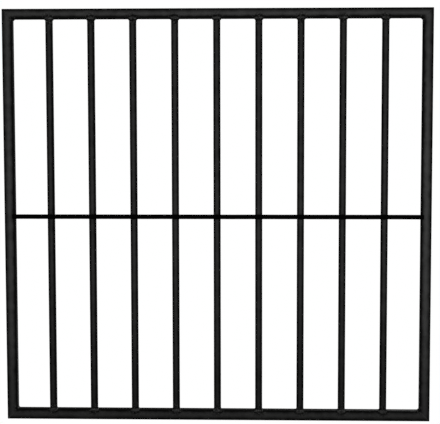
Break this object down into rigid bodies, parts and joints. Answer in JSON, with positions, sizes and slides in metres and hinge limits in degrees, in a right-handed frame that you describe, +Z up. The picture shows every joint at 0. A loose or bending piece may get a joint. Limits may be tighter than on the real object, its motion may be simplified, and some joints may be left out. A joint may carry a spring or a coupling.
{
  "type": "window security grille",
  "caption": "Welded window security grille: square tube frame with upright square bars and a thin flat cross bar at mid-height, black coated.",
  "frame": {"origin": "middle of the bottom rail's underside, which rests on the window sill", "axes": "+X to the right seen from the street side, +Y from the street side towards the window, +Z up"},
  "size_m": [1.2, 0.033, 1.1615],
  "materials": {
    "frame_coat": "black satin powder coat over steel tube",
    "bar_coat": "black satin powder coat over steel tube",
    "cross_bar_coat": "matt black coat over hot-rolled flat",
    "weld_coat": "black satin powder coat over weld metal"
  },
  "bodies": {
    "root": {"left_stile": "frame_coat", "right_stile": "frame_coat", "top_rail": "frame_coat", "bottom_rail": "frame_coat", "bar_1": "bar_coat", "bar_2": "bar_coat", "bar_3": "bar_coat", "bar_4": "bar_coat", "bar_5": "bar_coat", "bar_6": "bar_coat", "bar_7": "bar_coat", "bar_8": "bar_coat", "bar_9": "bar_coat", "cross_bar": "cross_bar_coat", "corner_weld_bottom_left": "weld_coat", "corner_weld_bottom_right": "weld_coat", "corner_weld_top_left": "weld_coat", "corner_weld_top_right": "weld_coat", "bar_welds_bottom": "weld_coat", "bar_welds_top": "weld_coat", "cross_bar_welds": "weld_coat"}
  },
  "joints": []
}
